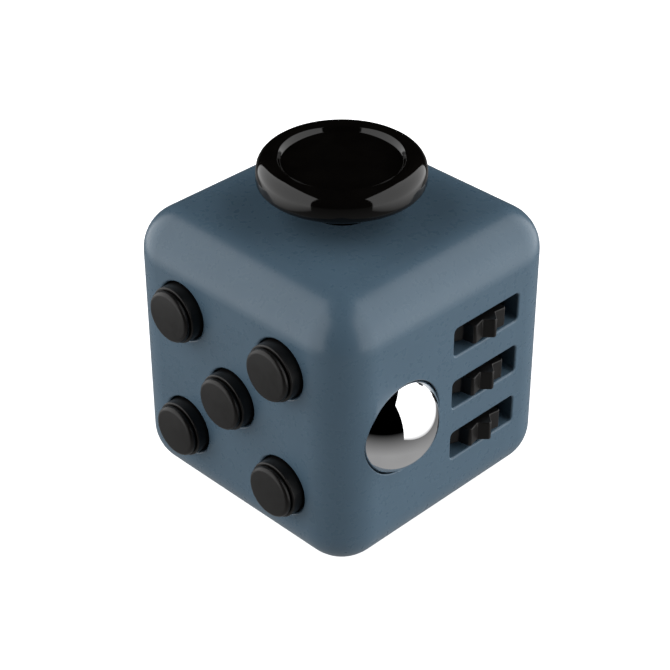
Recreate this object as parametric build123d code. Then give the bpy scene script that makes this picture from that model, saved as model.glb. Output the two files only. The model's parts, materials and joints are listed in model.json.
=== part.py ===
from build123d import *
import math
import os

# A fidget cube: a rounded hollow cube with a different toy on each face.
#   +Z glide disc     -Y five buttons     +X steel ball and three gears
#   -X flip rocker    +Y spin dial        -Z thumb dish in the base cover
# Frame: millimetres, +Z up, origin at the middle of the bottom face.

# ---------------------------------------------------------------- body
SIDE = 33.0
EDGE_R = 5.0
WALL = 2.0
FACE = SIDE / 2
INNER = FACE - WALL
MID = SIDE / 2
GAP = 0.1                 # ordinary clearance between pieces
RUN = 0.05                # radial clearance of a shaft in its hole
SOFT_R = 0.25             # the small rounding round every opening in the outside faces
WINDOW_GAP = 0.2          # clearance round the rocker and the dial in their openings

# ---------------------------------------------------------------- screws
SCREW_R = 0.6
SCREW_HEAD_R = 1.15
SCREW_HEAD_H = 0.8
SCREW_SLOT_DEPTH = 0.4
SCREW_SLOT_LONG = 1.4     # both as a share of the head's radius
SCREW_SLOT_WIDE = 0.32
PILOT_R = 0.65
CLEAR_R = 0.75
POST_SINK = 0.4

# ---------------------------------------------------------------- glide, on the top
GLIDE_R = 9.1
GLIDE_UNDER = SIDE + 3.07
GLIDE_TOP = SIDE + 6.3
GLIDE_SHOULDER = 1.55     # rounding above the rim's side
GLIDE_UNDER_ROUND = 1.1   # rounding below it
GLIDE_CREST_R = 7.5       # inside this the rim slopes down to the lip of the dish
GLIDE_LIP = (6.75, SIDE + 5.9)
GLIDE_DISH_FLOOR = (6.4, SIDE + 5.55)
GLIDE_TRAVEL = 1.2
STEM_R = 1.8
STEM_TOP = SIDE + 5.0
STEM_HOLE_R = 3.65
SLIDER_HALF = 4.0
RAIL = 1.2
GLIDE_COLLAR_R = 3.0      # the short sleeve round the stem under the disc
GLIDE_COLLAR_H = 0.8
GLIDE_POST = 9.4
GLIDE_POST_R = 1.5
GLIDE_FLOOR = SIDE - 5.6
GLIDE_FLOOR_H = 1.0
CROSS_FLOOR_H = 0.7
SMALL_SPRING_R = 0.6
SMALL_SPRING_BORE = 0.4
SMALL_SPRING_POCKET = 2.0

# ---------------------------------------------------------------- buttons, on the front
BUTTON_SPOTS = {
    "top_left": (-7.5, 24.0),
    "top_right": (7.5, 24.0),
    "centre": (0.0, 16.5),
    "bottom_left": (-7.5, 9.0),
    "bottom_right": (7.5, 9.0),
}
SILENT_BUTTONS = ("bottom_left", "bottom_right")
BUTTON_HOLE_R = 3.4
BUTTON_SKIRT_R = 3.2
BUTTON_CAP_R = 2.95
BUTTON_GROOVE_R = 2.6
BUTTON_GROOVE_H = 0.25
BUTTON_LIP_R = 3.9
BUTTON_STEP = 1.25
BUTTON_RISE = 2.0
BUTTON_LIP_H = 1.0
BUTTON_NUB = 0.15
BUTTON_NUB_R = 1.0
BUTTON_SKIRT_ROUND = 0.15
BUTTON_CAP_ROUND = 0.4
BACKPLATE_Y = -INNER + 2.3
BACKPLATE_H = 1.2
BACKPLATE_HALF_X = 12.0
BACKPLATE_Z = (5.0, 28.0)
BACKPLATE_CORNER = 1.0
BACKPLATE_CUT_R = 6.8     # the bay cut out of it round the ball
BACKPLATE_POSTS = ((0.0, 26.5), (0.0, 6.5), (-10.5, 16.5))
BACKPLATE_POST_R = 1.5
DOME_R = 2.6
CLICK_DOME_SKIN = 0.2
SILENT_DOME_SKIN = 0.3
SILENT_DOME_TIP_R = 1.4

# ---------------------------------------------------------------- ball, on the right
BALL_R = 6.0
BALL_SPOT = (FACE - 3.05, -7.4, 16.5)
BALL_SOCKET_R = 6.12
BALL_MOUTH_R = 0.12       # the rounding round the ball's opening
BALL_PRESS = 1.0
CUP_R = 2.8
PAD_R = 2.2
BALL_POST_REACH = 8.2
BALL_POST_R = 1.6
BALL_POST_END = 6.2
BALL_SPRING_R = 2.0
BALL_SPRING_BORE = 1.6

# ---------------------------------------------------------------- gears, on the right
GEAR_SPOT = (13.4, 5.15)
GEAR_MIDDLE_Z = 16.6
GEAR_PITCH = 6.75
GEAR_TEETH = 10
GEAR_TIP_R = 4.35
GEAR_ROOT_R = 3.35
GEAR_H = 2.3
GEAR_HUB_R = 1.9
GEAR_HUB_H = 3.0
GEAR_PHASE = 2.6
GEAR_TIP_HALF = 2.8       # half the angle of a tooth's flat tip
GEAR_SLOT_Y = (0.1, 10.2)
GEAR_SLOT_H = 3.45
AXLE_R = 0.75
CRADLE_BACK = (6.2, 7.4)
CRADLE_ARM_H = 1.2
CRADLE_POST_R = 1.3
CRADLE_POSTS = ((9.4, GEAR_MIDDLE_Z + GEAR_PITCH / 2), (0.9, GEAR_MIDDLE_Z - GEAR_PITCH / 2))

# ---------------------------------------------------------------- flip rocker, on the left
PIVOT_X = -FACE + 3.0
ROCKER_W = 9.2
ROCKER_HALF = 7.2
ROCKER_END = 4.3          # how far the raised ends stand out from the pivot
ROCKER_TILT = 10.0
ROCKER_HUB_R = 1.9
PIN_R = 0.7
FLIP_FLOOR_X = -10.2
FLIP_FLOOR_H = 1.2
FLIP_POST_R = 1.4
FLIP_POST_Y = 7.2
FLIP_POST_Z = 7.5

# ---------------------------------------------------------------- spin dial, on the back
DIAL_R = 8.0
DIAL_RISE = 1.4
DIAL_RECESS = 0.4
DIAL_GROOVES = 30
DIAL_GROOVE_R = 0.5
DIAL_ROUND = 0.5
DIMPLE_R = 3.4
DIMPLE_DEPTH = 0.9
DIMPLE_REACH = 4.3
SPINDLE_R = 2.4
BUSH_R = 3.1
BUSH_FLANGE_R = 4.0
SPIN_WASHER_R = 3.6

# ---------------------------------------------------------------- base cover and thumb dish
COVER_HALF = 10.9
COVER_H = 0.95
LEDGE = 1.0
DISH_R = 8.5
DISH_DEPTH = 2.6
DISH_WALL = 1.2

TURN = {"x": Rot(0, 90, 0), "y": Rot(-90, 0, 0), "z": Rot(0, 0, 0)}


# ================================================================ helpers
def block(x, y, z):
    """A block from its lowest and highest value along X, Y and Z."""
    spans = (x, y, z)
    middle = [(low + high) / 2 for low, high in spans]
    return Pos(*middle) * Box(*[high - low for low, high in spans])


def rod(axis, spot, radius, start, end):
    """A round bar along an axis; spot is its place on the other two axes."""
    a, b = spot
    middle = (start + end) / 2
    place = {"x": (middle, a, b), "y": (a, middle, b), "z": (a, b, middle)}[axis]
    return Pos(*place) * TURN[axis] * Cylinder(radius, abs(end - start))


def tube(axis, spot, outer, inner, start, end):
    """A round bar with a hole all the way through it."""
    return rod(axis, spot, outer, start, end) - rod(axis, spot, inner, start - 1, end + 1)


def ball_at(spot, radius):
    """A whole sphere about a point."""
    return Pos(*spot) * Sphere(radius)


def joined(shapes):
    """Overlapping shapes made one."""
    shapes = list(shapes)
    total = shapes[0]
    for shape in shapes[1:]:
        total = total + shape
    return total


def group(shapes):
    """Separate solids kept in one node."""
    return Compound(children=[part.solid() for part in shapes])


def screw(axis, spot, seat, tip, head_r=SCREW_HEAD_R):
    """A pan head screw whose head rests at seat and whose shank ends at tip."""
    away = 1 if seat > tip else -1
    top = seat + away * SCREW_HEAD_H
    head = rod(axis, spot, head_r, min(seat, top), max(seat, top))
    shank = rod(axis, spot, SCREW_R, min(seat, tip), max(seat, tip))
    slot_middle = top - away * SCREW_SLOT_DEPTH / 2
    long, thin = SCREW_SLOT_LONG * head_r, SCREW_SLOT_WIDE * head_r
    a, b = spot
    place = {"x": (slot_middle, a, b), "y": (a, slot_middle, b), "z": (a, b, slot_middle)}[axis]
    cross = Box(long, thin, SCREW_SLOT_DEPTH) + Box(thin, long, SCREW_SLOT_DEPTH)
    return head + shank - Pos(*place) * TURN[axis] * cross


def post(axis, spot, radius, root, tip):
    """A screw post that grows from the wall at root and ends at tip, with its pilot hole."""
    sink = POST_SINK if root > tip else -POST_SINK
    outer = rod(axis, spot, radius, min(root + sink, tip), max(root + sink, tip))
    pilot = rod(axis, spot, PILOT_R, min(root, tip - sink), max(root, tip - sink))
    return outer - pilot


def rounded_cube(half, radius):
    """A cube about the middle of the body with every edge rounded."""
    cube = Pos(0, 0, MID) * Box(2 * half, 2 * half, 2 * half)
    return fillet(cube.edges(), radius)


def rounded_plate(half_x, half_y, corner, z):
    """A flat plate with rounded upright corners."""
    plate = block((-half_x, half_x), (-half_y, half_y), z)
    return fillet(plate.edges().filter_by(Axis.Z), corner)


def gear_heights():
    """The middle of each gear, from the top one down."""
    return [GEAR_MIDDLE_Z + GEAR_PITCH * step for step in (1, 0, -1)]


# ================================================================ shell and base cover
def shell_posts():
    """Every screw post inside the shell."""
    corners = [(x, y) for x in (-GLIDE_POST, GLIDE_POST) for y in (-GLIDE_POST, GLIDE_POST)]
    glide = [post("z", spot, GLIDE_POST_R, SIDE - WALL, GLIDE_FLOOR + GLIDE_FLOOR_H) for spot in corners]
    buttons = [post("y", spot, BACKPLATE_POST_R, -INNER, BACKPLATE_Y) for spot in BACKPLATE_POSTS]
    _, ball_y, ball_z = BALL_SPOT
    ball_spots = [(ball_y, ball_z - BALL_POST_REACH), (ball_y, ball_z + BALL_POST_REACH)]
    ball = [post("x", spot, BALL_POST_R, INNER, BALL_POST_END) for spot in ball_spots]
    gears = [post("x", spot, CRADLE_POST_R, INNER, CRADLE_BACK[1]) for spot in CRADLE_POSTS]
    flip = [post("x", spot, FLIP_POST_R, -INNER, FLIP_FLOOR_X) for spot in flip_post_spots()]
    return glide + buttons + ball + gears + flip


def flip_post_spots():
    """Where the four posts of the rocker's frame stand on the left wall."""
    return [(y, MID + z) for y in (-FLIP_POST_Y, FLIP_POST_Y) for z in (-FLIP_POST_Z, FLIP_POST_Z)]


def gear_slot(height):
    """One window in the right wall, with small corner radii."""
    low, high = GEAR_SLOT_Y
    z = (height - GEAR_SLOT_H / 2, height + GEAR_SLOT_H / 2)
    slot = block((INNER - 1, FACE + 1), (low, high), z)
    return fillet(slot.edges().filter_by(Axis.X), 0.5)


def rocker_opening():
    """The window of the flip rocker in the left wall."""
    half_w = ROCKER_W / 2 + WINDOW_GAP
    half_h = rocker_reach() + WINDOW_GAP
    opening = block((-FACE - 1, -INNER + 1), (-half_w, half_w), (MID - half_h, MID + half_h))
    return fillet(opening.edges().filter_by(Axis.X), 0.3)


def lies_on_ball(edge, centre, radius):
    """Whether every point of an edge is that far from a centre."""
    points = [edge.position_at(share / 4) for share in range(5)]
    return all(abs((point - centre).length - radius) < 0.02 for point in points)


def openings_in_flats(shell):
    """The edges of every opening that lies wholly in a flat outside face."""
    middle = Vector(0, 0, MID)
    edges = []
    for axis in (Axis.X, Axis.Y, Axis.Z):
        for face in shell.faces().filter_by(axis):
            if abs((face.center() - middle).dot(axis.direction)) > FACE - 0.01:
                edges += [edge for wire in face.inner_wires() for edge in wire.edges()]
    return edges


def mouth_of_socket(shell):
    """The two edges where the ball's socket meets the outside of the cube."""
    socket = Vector(*BALL_SPOT)
    mouth = [edge for edge in shell.edges() if lies_on_ball(edge, socket, BALL_SOCKET_R)]
    return sorted(mouth, key=lambda edge: edge.center().X)[-2:]


def soften_openings(shell):
    """Rounds the edge of every opening where it meets the outside, as a mould would."""
    shell = fillet(openings_in_flats(shell), SOFT_R)
    return fillet(mouth_of_socket(shell), BALL_MOUTH_R)


def make_shell():
    """The five-sided cube, open below, with a hole or a window for each toy."""
    shell = rounded_cube(FACE, EDGE_R) - rounded_cube(INNER, EDGE_R - WALL)
    shell = shell - rounded_plate(COVER_HALF + GAP, COVER_HALF + GAP, 2.9, (-1, LEDGE))
    narrow = COVER_HALF + GAP - LEDGE
    shell = shell - rounded_plate(narrow, narrow, 1.9, (LEDGE / 2, WALL + 0.5))
    shell = joined([shell] + shell_posts())
    shell = shell - rod("z", (0, 0), STEM_HOLE_R, INNER + MID - 1, SIDE + 1)
    for spot in BUTTON_SPOTS.values():
        shell = shell - rod("y", spot, BUTTON_HOLE_R, -FACE - 1, -INNER + 1)
    shell = shell - ball_at(BALL_SPOT, BALL_SOCKET_R)
    for height in gear_heights():
        shell = shell - gear_slot(height)
    shell = shell - rocker_opening()
    shell = shell - rod("y", (0, MID), DIAL_R + WINDOW_GAP, FACE - DIAL_RECESS, FACE + 1)
    shell = shell - rod("y", (0, MID), BUSH_R, INNER - 1, FACE + 1)
    return soften_openings(shell)


def cover_hook():
    """A snap hook on the +X side of the base cover."""
    inner, outer, barb = COVER_HALF - 2 * LEDGE, COVER_HALF - LEDGE - GAP, COVER_HALF - 0.3
    catch = WALL + GAP
    outline = Polyline(
        (inner, COVER_H / 2), (outer, COVER_H / 2), (outer, catch),
        (barb, catch), (outer, catch + 1.2), (inner, catch + 1.2), close=True)
    profile = make_face(Plane.XZ * outline)
    return extrude(profile, amount=3.0, both=True)


def make_base_cover():
    """The snap-in bottom plate whose middle is pressed up into a thumb dish."""
    dish_sphere_r = (DISH_R ** 2 + DISH_DEPTH ** 2) / (2 * DISH_DEPTH)
    centre = (0, 0, DISH_DEPTH - dish_sphere_r)
    cover = rounded_plate(COVER_HALF, COVER_HALF, 2.8, (0, COVER_H))
    bulge = ball_at(centre, dish_sphere_r + DISH_WALL) & block((-20, 20), (-20, 20), (COVER_H / 2, 20))
    hooks = [Rot(0, 0, 90 * turn) * cover_hook() for turn in range(4)]
    return joined([cover, bulge] + hooks) - ball_at(centre, dish_sphere_r)


# ================================================================ glide
def make_glide_cap():
    """The thumb disc: a fat rounded rim that slopes in to a shallow flat-floored dish."""
    floor_r, floor_z = GLIDE_DISH_FLOOR
    outline = Polyline(
        (0, GLIDE_UNDER), (GLIDE_R, GLIDE_UNDER), (GLIDE_R, GLIDE_TOP), (GLIDE_CREST_R, GLIDE_TOP),
        GLIDE_LIP, (floor_r, floor_z), (0, floor_z), close=True)
    cap = revolve(make_face(Plane.XZ * outline), Axis.Z)
    for place, rounding in ((0, GLIDE_UNDER_ROUND), (-1, GLIDE_SHOULDER)):
        rims = cap.edges().filter_by(GeomType.CIRCLE)
        rims = rims.filter_by(lambda edge: abs(edge.radius - GLIDE_R) < 0.01)
        cap = fillet(rims.sort_by(Axis.Z)[place], rounding)
    collar = rod("z", (0, 0), GLIDE_COLLAR_R, GLIDE_UNDER - GLIDE_COLLAR_H, GLIDE_UNDER + 0.2)
    return cap + collar - rod("z", (0, 0), STEM_R, GLIDE_UNDER - 1, STEM_TOP)


def slider_levels():
    """Heights of the sliding pieces under the top wall."""
    cross_low = GLIDE_FLOOR + GLIDE_FLOOR_H + GAP
    slider_low = cross_low + CROSS_FLOOR_H + GAP
    roof = SIDE - WALL
    return cross_low, slider_low, roof


def slider_spring_z():
    """The height of all four centring springs."""
    _, slider_low, roof = slider_levels()
    return (slider_low + roof - 2 * GAP) / 2


def make_glide_slider():
    """The square plate and stem that carry the thumb disc."""
    _, low, roof = slider_levels()
    half = SLIDER_HALF
    plate = rounded_plate(half, half, 0.8, (low, roof - 2 * GAP))
    stem = rod("z", (0, 0), STEM_R, roof - 1, STEM_TOP)
    deep = half - SMALL_SPRING_POCKET
    pockets = rod("x", (0, slider_spring_z()), SMALL_SPRING_R + RUN, -half - 1, -deep)
    pockets = pockets + rod("x", (0, slider_spring_z()), SMALL_SPRING_R + RUN, deep, half + 1)
    return plate + stem - pockets


def make_glide_cross_slide():
    """The tray that lets the slider move along X and itself moves along Y."""
    low, slider_low, roof = slider_levels()
    pocket_x = SLIDER_HALF + GLIDE_TRAVEL + RUN
    pocket_y = SLIDER_HALF + RUN
    tray = rounded_plate(pocket_x + RAIL, pocket_y + 1.0, 1.0, (low, roof - GAP - RUN))
    return tray - rounded_plate(pocket_x, pocket_y, 0.5, (slider_low - GAP, roof + 1))


def glide_base_pocket():
    """Half sizes of the pocket in which the tray moves."""
    half_x = SLIDER_HALF + GLIDE_TRAVEL + 2 * RUN + RAIL
    half_y = SLIDER_HALF + 1.0 + GLIDE_TRAVEL + 2 * RUN
    return half_x, half_y


def make_glide_base():
    """The guide that is screwed under the top wall, with four ears."""
    half_x, half_y = glide_base_pocket()
    outer_y = half_y + SMALL_SPRING_POCKET + 0.6
    floor = (GLIDE_FLOOR, GLIDE_FLOOR + GLIDE_FLOOR_H)
    body = rounded_plate(half_x + RAIL, outer_y, 1.0, (GLIDE_FLOOR, SIDE - WALL - GAP))
    reach = GLIDE_POST * math.sqrt(2)
    bar = block((-reach, reach), (-GLIDE_POST_R, GLIDE_POST_R), floor)
    ears = [Rot(0, 0, turn) * bar for turn in (45, 135)]
    corners = [(x, y) for x in (-GLIDE_POST, GLIDE_POST) for y in (-GLIDE_POST, GLIDE_POST)]
    ends = [rod("z", spot, GLIDE_POST_R, *floor) for spot in corners]
    base = joined([body] + ears + ends)
    base = base - rounded_plate(half_x, half_y, 0.6, (floor[1], SIDE))
    for spot in corners:
        base = base - rod("z", spot, CLEAR_R, GLIDE_FLOOR - 1, GLIDE_FLOOR + 2)
    deep = half_y + SMALL_SPRING_POCKET
    return base - rod("y", (0, slider_spring_z()), SMALL_SPRING_R + RUN, -deep, deep)


def make_glide_springs_x():
    """Two coil springs, as sleeves, between the slider and the tray."""
    start = SLIDER_HALF - SMALL_SPRING_POCKET
    end = SLIDER_HALF + GLIDE_TRAVEL
    spot = (0, slider_spring_z())
    sides = ((start, end), (-end, -start))
    return group(tube("x", spot, SMALL_SPRING_R, SMALL_SPRING_BORE, low, high) for low, high in sides)


def make_glide_springs_y():
    """Two coil springs, as sleeves, between the tray and the base."""
    _, half_y = glide_base_pocket()
    start = SLIDER_HALF + 1.0 + 2 * RUN
    end = half_y + SMALL_SPRING_POCKET - RUN
    spot = (0, slider_spring_z())
    sides = ((start, end), (-end, -start))
    return group(tube("y", spot, SMALL_SPRING_R, SMALL_SPRING_BORE, low, high) for low, high in sides)


def make_glide_base_screws():
    """Four screws up into the corner posts."""
    corners = [(x, y) for x in (-GLIDE_POST, GLIDE_POST) for y in (-GLIDE_POST, GLIDE_POST)]
    return group(screw("z", spot, GLIDE_FLOOR, SIDE - WALL - 0.3) for spot in corners)


# ================================================================ buttons
def facing_front(spot):
    """Puts a piece drawn about +Z, with z = 0 on the face, on the front face."""
    x, z = spot
    return Pos(x, -FACE, z) * Rot(90, 0, 0)


def make_button(spot):
    """A stepped round button with a retaining lip behind the wall and a nub for its dome."""
    lip_top = -WALL - GAP
    lip_low = lip_top - BUTTON_LIP_H
    skirt = rod("z", (0, 0), BUTTON_SKIRT_R, lip_low, BUTTON_STEP)
    skirt = fillet(skirt.edges().sort_by(Axis.Z)[-1], BUTTON_SKIRT_ROUND)
    cap = rod("z", (0, 0), BUTTON_CAP_R, 0, BUTTON_RISE)
    cap = fillet(cap.edges().sort_by(Axis.Z)[-1], BUTTON_CAP_ROUND)
    lip = rod("z", (0, 0), BUTTON_LIP_R, lip_low, lip_top)
    nub = rod("z", (0, 0), BUTTON_NUB_R, lip_low - BUTTON_NUB, lip_low + 0.1)
    groove_top = BUTTON_STEP + BUTTON_GROOVE_H
    groove = tube("z", (0, 0), BUTTON_CAP_R + 0.05, BUTTON_GROOVE_R, BUTTON_STEP, groove_top)
    return facing_front(spot) * (skirt + cap + lip + nub - groove)


def dome_height():
    """The room for a dome between the button's nub and the backplate."""
    nub_tip = FACE - WALL - GAP - BUTTON_LIP_H - BUTTON_NUB
    return nub_tip + BACKPLATE_Y - RUN


def make_click_dome(spot):
    """A domed steel disc that snaps when the button is pressed."""
    rise = dome_height()
    radius = (DOME_R ** 2 + rise ** 2) / (2 * rise)
    centre = (0, 0, rise - radius)
    cap = ball_at(centre, radius) - ball_at(centre, radius - CLICK_DOME_SKIN)
    cap = cap & block((-9, 9), (-9, 9), (0, 9))
    x, z = spot
    return Pos(x, BACKPLATE_Y, z) * Rot(90, 0, 0) * cap


def make_silent_dome(spot):
    """A soft rubber cone with a flat top."""
    rise = dome_height()
    skin = SILENT_DOME_SKIN
    tip = SILENT_DOME_TIP_R
    outer = Pos(0, 0, rise / 2) * Cone(DOME_R, tip, rise)
    inner = Pos(0, 0, (rise - skin) / 2 - 0.01) * Cone(DOME_R - skin, tip - skin, rise - skin + 0.02)
    x, z = spot
    return Pos(x, BACKPLATE_Y, z) * Rot(90, 0, 0) * (outer - inner)


def make_button_backplate():
    """The plate behind the buttons, cut away round the ball."""
    y = (BACKPLATE_Y, BACKPLATE_Y + BACKPLATE_H)
    plate = block((-BACKPLATE_HALF_X, BACKPLATE_HALF_X), y, BACKPLATE_Z)
    plate = fillet(plate.edges().filter_by(Axis.Y), BACKPLATE_CORNER)
    ball_x, _, ball_z = BALL_SPOT
    plate = plate - rod("y", (ball_x - BALL_PRESS / 2, ball_z), BACKPLATE_CUT_R, y[0] - 1, y[1] + 1)
    for spot in BACKPLATE_POSTS:
        plate = plate - rod("y", spot, CLEAR_R, y[0] - 1, y[1] + 1)
    return plate


def make_backplate_screws():
    """Three screws forward into the front wall's posts."""
    seat = BACKPLATE_Y + BACKPLATE_H
    return group(screw("y", spot, seat, -INNER + 0.3) for spot in BACKPLATE_POSTS)


# ================================================================ ball
CUP_BACK = 4.2
CUP_WEB = (5.8, 6.4)
CUP_FRONT = 7.8
HOUSING_X = (2.2, 7.0)
HOUSING_FLOOR = 0.8
HOUSING_WALL = 0.65
HOUSING_PLATE_X = (5.0, 6.2)


def make_ball():
    """The steel ball, held in by the tapered socket of the wall."""
    return ball_at(BALL_SPOT, BALL_R)


def make_ball_pad():
    """A slippery pad with a hollow face for the ball, free to turn in the cup."""
    spot = BALL_SPOT[1:]
    pad = rod("x", spot, PAD_R, CUP_WEB[1] + RUN, CUP_FRONT + 0.4)
    return pad - ball_at(BALL_SPOT, BALL_R + RUN)


def make_ball_cup():
    """The plunger behind the ball, hollow at the back for its spring."""
    spot = BALL_SPOT[1:]
    cup = rod("x", spot, CUP_R, CUP_BACK, CUP_FRONT)
    cup = cup - rod("x", spot, PAD_R + RUN, CUP_WEB[1], CUP_FRONT + 1)
    return cup - rod("x", spot, PAD_R, CUP_BACK - 1, CUP_WEB[0])


def make_ball_spring():
    """The coil spring, as a sleeve, that pushes the ball out."""
    seat = HOUSING_X[0] + HOUSING_FLOOR
    return tube("x", BALL_SPOT[1:], BALL_SPRING_R, BALL_SPRING_BORE, seat, CUP_WEB[0])


def make_ball_housing():
    """The tube that guides the cup, on a plate screwed to two long posts."""
    _, y, z = BALL_SPOT
    reach = BALL_POST_REACH
    plate = block(HOUSING_PLATE_X, (y - 3.0, y + 3.0), (z - reach - 1.7, z + reach + 1.7))
    plate = fillet(plate.edges().filter_by(Axis.X), 1.2)
    housing = plate + rod("x", (y, z), CUP_R + RUN + HOUSING_WALL, *HOUSING_X)
    housing = housing - rod("x", (y, z), CUP_R + RUN, HOUSING_X[0] + HOUSING_FLOOR, HOUSING_X[1] + 1)
    for side in (-reach, reach):
        housing = housing - rod("x", (y, z + side), CLEAR_R, 4.0, 7.0)
    return housing


def make_ball_housing_screws():
    """Two screws towards the right wall."""
    _, y, z = BALL_SPOT
    spots = [(y, z - BALL_POST_REACH), (y, z + BALL_POST_REACH)]
    return group(screw("x", spot, HOUSING_PLATE_X[0], 11.0) for spot in spots)


# ================================================================ gears
def make_gear(height):
    """A thumb gear with pointed teeth that turns on the upright axle."""
    step = 360 / GEAR_TEETH
    points = []
    for tooth in range(GEAR_TEETH):
        middle = GEAR_PHASE + tooth * step
        for radius, angle in ((GEAR_TIP_R, middle - GEAR_TIP_HALF), (GEAR_TIP_R, middle + GEAR_TIP_HALF),
                              (GEAR_ROOT_R, middle + step / 2)):
            turn = math.radians(angle)
            points.append((radius * math.cos(turn), radius * math.sin(turn)))
    outline = make_face(Polyline(*points, close=True))
    wheel = Pos(*GEAR_SPOT, height - GEAR_H / 2) * extrude(outline, amount=GEAR_H)
    hub = rod("z", GEAR_SPOT, GEAR_HUB_R, height - GEAR_HUB_H / 2, height + GEAR_HUB_H / 2)
    return wheel + hub - rod("z", GEAR_SPOT, AXLE_R + RUN, height - 3, height + 3)


def cradle_arm_heights():
    """The lower face of each cradle arm: below, between and above the gears."""
    top, middle, bottom = gear_heights()
    between = [(low + high - CRADLE_ARM_H) / 2 for low, high in ((bottom, middle), (middle, top))]
    return [bottom - 4.05] + between + [top + 2.65]


def make_gear_cradle():
    """The upright back with four forks that hold the axle against the wall."""
    arms_z = cradle_arm_heights()
    x, y = GEAR_SPOT
    back = block(CRADLE_BACK, (-0.6, 11.0), (arms_z[0], arms_z[-1] + CRADLE_ARM_H))
    arms = [block((CRADLE_BACK[1] - 0.5, INNER - GAP), (y - 2.5, y + 2.5), (z, z + CRADLE_ARM_H))
            for z in arms_z]
    cradle = joined([back] + arms)
    low, high = arms_z[0] - 1, arms_z[-1] + 3
    cradle = cradle - rod("z", GEAR_SPOT, AXLE_R + 0.03, low, high)
    cradle = cradle - block((x, FACE), (y - AXLE_R - 0.03, y + AXLE_R + 0.03), (low, high))
    for spot in CRADLE_POSTS:
        cradle = cradle - rod("x", spot, CLEAR_R, CRADLE_BACK[0] - 1, CRADLE_BACK[1] + 1)
    return cradle


def make_gear_axle():
    """One pin through all three gears, with a small head below and a ring above."""
    arms_z = cradle_arm_heights()
    low = arms_z[0]
    high = arms_z[-1] + CRADLE_ARM_H
    pin = rod("z", GEAR_SPOT, AXLE_R, low - 0.6, high + 0.6)
    head = rod("z", GEAR_SPOT, AXLE_R + 0.25, low - 0.6, low - 0.05)
    ring = rod("z", GEAR_SPOT, AXLE_R + 0.25, high + 0.05, high + 0.45)
    return pin + head + ring


def make_gear_spacers():
    """Six little sleeves that keep each gear in the middle of its window."""
    arms_z = cradle_arm_heights()
    sleeves = []
    for number, height in enumerate(reversed(gear_heights())):
        below = arms_z[number] + CRADLE_ARM_H
        above = arms_z[number + 1]
        for low, high in ((below, height - GEAR_HUB_H / 2), (height + GEAR_HUB_H / 2, above)):
            sleeves.append(tube("z", GEAR_SPOT, AXLE_R + 0.28, AXLE_R + 0.03, low + RUN, high - RUN))
    return group(sleeves)


def make_gear_click_springs():
    """Three leaf springs on the cradle whose ends drop between the gear teeth."""
    turn = math.radians(GEAR_PHASE + 360 / GEAR_TEETH * 4.5)
    reach = GEAR_ROOT_R + 0.65
    tip_x = GEAR_SPOT[0] + reach * math.cos(turn)
    tip_y = GEAR_SPOT[1] + reach * math.sin(turn)
    foot_x, foot_y = CRADLE_BACK[1] + 0.15, 9.3
    lean = math.degrees(math.atan2(tip_y - foot_y, tip_x - foot_x))
    length = math.hypot(tip_y - foot_y, tip_x - foot_x)
    leaves = []
    for height in gear_heights():
        z = (height - 0.9, height + 0.9)
        foot = block((CRADLE_BACK[1], CRADLE_BACK[1] + 0.25), (8.2, 10.6), z)
        middle = ((foot_x + tip_x) / 2, (foot_y + tip_y) / 2, height)
        leaf = Pos(*middle) * Rot(0, 0, lean) * Box(length, 0.2, 1.8)
        bump = rod("z", (tip_x, tip_y), 0.3, *z)
        clear = block((CRADLE_BACK[1], 14), (0, 12), z)
        leaves.append((foot + leaf + bump) & clear)
    return group(leaves)


def make_gear_cradle_screws():
    """Two screws into the right wall's posts."""
    return group(screw("x", spot, CRADLE_BACK[0], 11.0) for spot in CRADLE_POSTS)


# ================================================================ flip rocker
def rocker_reach():
    """The farthest that any point of the rocker lies from its pivot."""
    return math.hypot(ROCKER_END, ROCKER_HALF)


def make_flip_rocker():
    """A rocker with two flat pads that meet in a shallow valley over the pivot."""
    reach = rocker_reach()
    back = 0.9
    back_half = math.sqrt(reach ** 2 - back ** 2)
    middle_angle = (math.atan2(ROCKER_HALF, ROCKER_END) + math.atan2(back_half, back)) / 2
    side = (reach * math.cos(middle_angle), reach * math.sin(middle_angle))
    valley = ROCKER_END - ROCKER_HALF * math.tan(math.radians(ROCKER_TILT))
    front = Polyline((-ROCKER_END, -ROCKER_HALF), (-valley, 0), (-ROCKER_END, ROCKER_HALF))
    upper = ThreePointArc((-ROCKER_END, ROCKER_HALF), (-side[0], side[1]), (-back, back_half))
    rear = Line((-back, back_half), (-back, -back_half))
    lower = ThreePointArc((-back, -back_half), (-side[0], -side[1]), (-ROCKER_END, -ROCKER_HALF))
    profile = make_face(Plane.XZ * (front + upper + rear + lower))
    rocker = extrude(profile, amount=ROCKER_W / 2, both=True)
    rims = rocker.edges().filter_by(Axis.Y).filter_by(lambda edge: edge.center().X < -ROCKER_END + 0.1)
    rocker = fillet(rims, 0.5)
    hub = rod("y", (0, 0), ROCKER_HUB_R, -ROCKER_W / 2, ROCKER_W / 2)
    nose = block((0, 2.3), (-2.0, 2.0), (-0.5, 0.5))
    rocker = rocker + hub + nose - rod("y", (0, 0), PIN_R + RUN, -ROCKER_W, ROCKER_W)
    return Pos(PIVOT_X, 0, MID) * Rot(0, ROCKER_TILT, 0) * rocker


def make_flip_pin():
    """The steel pin on which the rocker tips."""
    return rod("y", (PIVOT_X, MID), PIN_R, -6.8, 6.8)


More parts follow.
